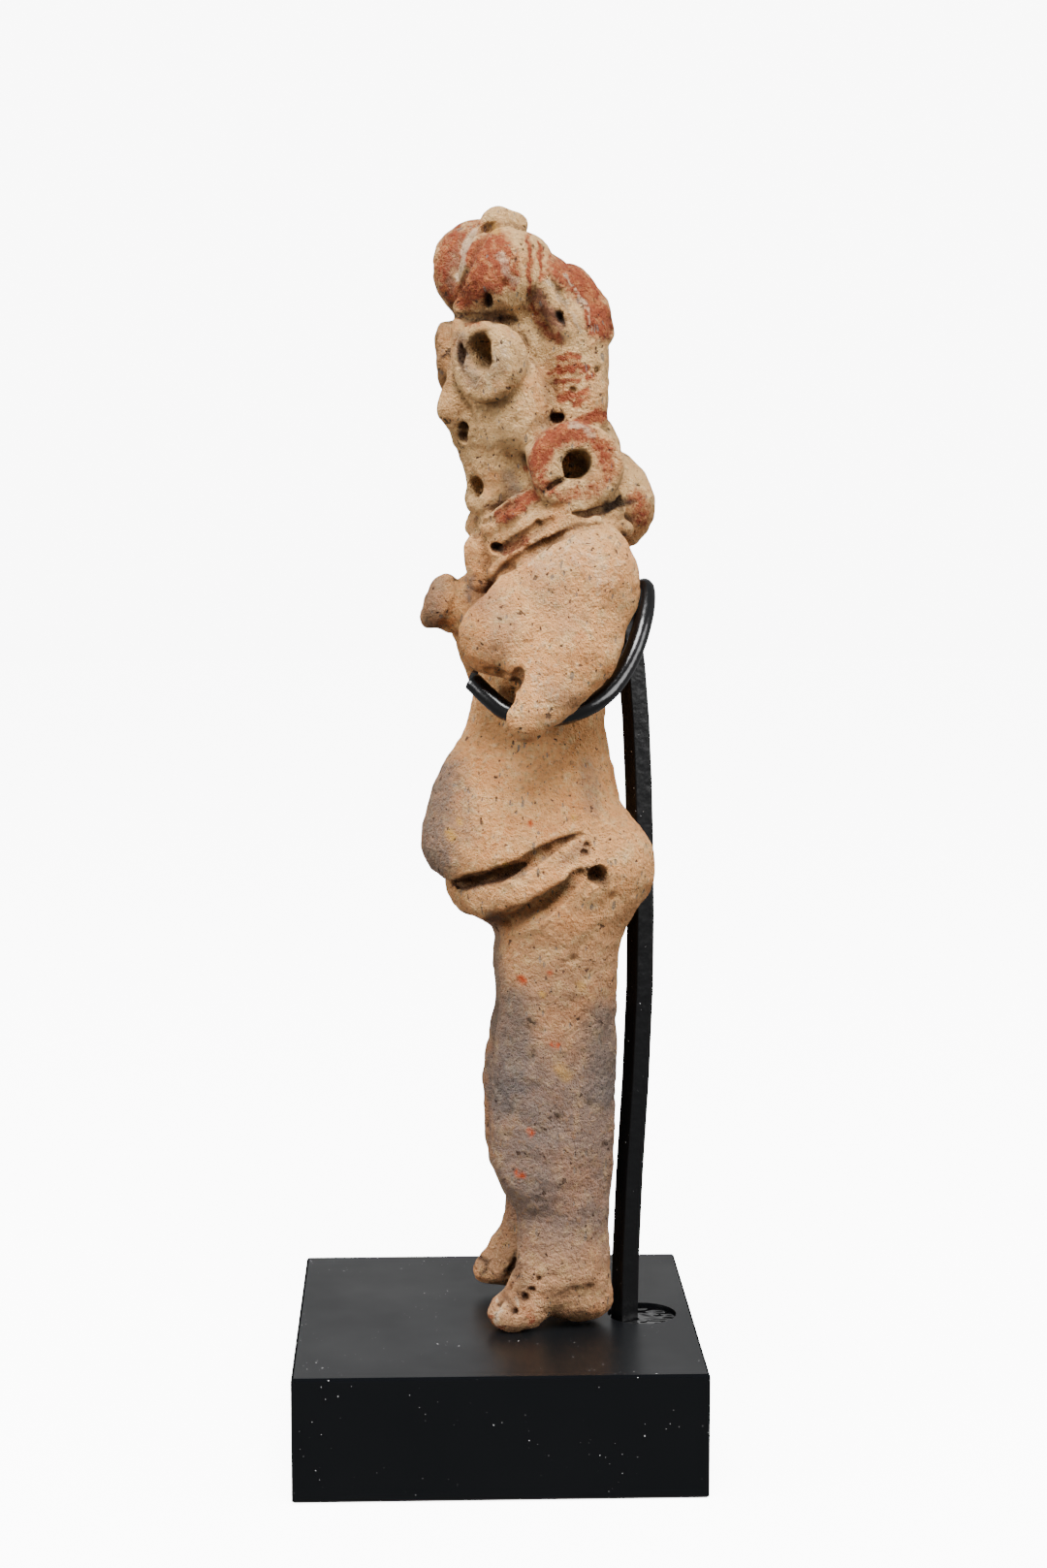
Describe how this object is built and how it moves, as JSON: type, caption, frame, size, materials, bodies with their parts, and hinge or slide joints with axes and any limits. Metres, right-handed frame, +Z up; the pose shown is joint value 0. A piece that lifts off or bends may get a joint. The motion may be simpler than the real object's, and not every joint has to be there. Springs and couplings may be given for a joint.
{
  "type": "terracotta fertility figure on display stand",
  "caption": "Hand-built standing terracotta woman with bent arm stumps and piled hair, held by a wire cradle on a rod in a square black block.",
  "frame": {"origin": "middle of the block's underside", "axes": "+Z up, the figure faces -Y and its left side is towards +X"},
  "size_m": [0.065, 0.065, 0.2003],
  "materials": {
    "terracotta": "matte",
    "block": "satin",
    "resin": "gloss",
    "rod_paint": "satin",
    "wire_sleeve": "gloss"
  },
  "bodies": {
    "root": {"figure": "terracotta", "base_block": "block", "rod_setting": "resin", "support_rod": "rod_paint", "cradle_wire": "wire_sleeve"}
  },
  "joints": []
}
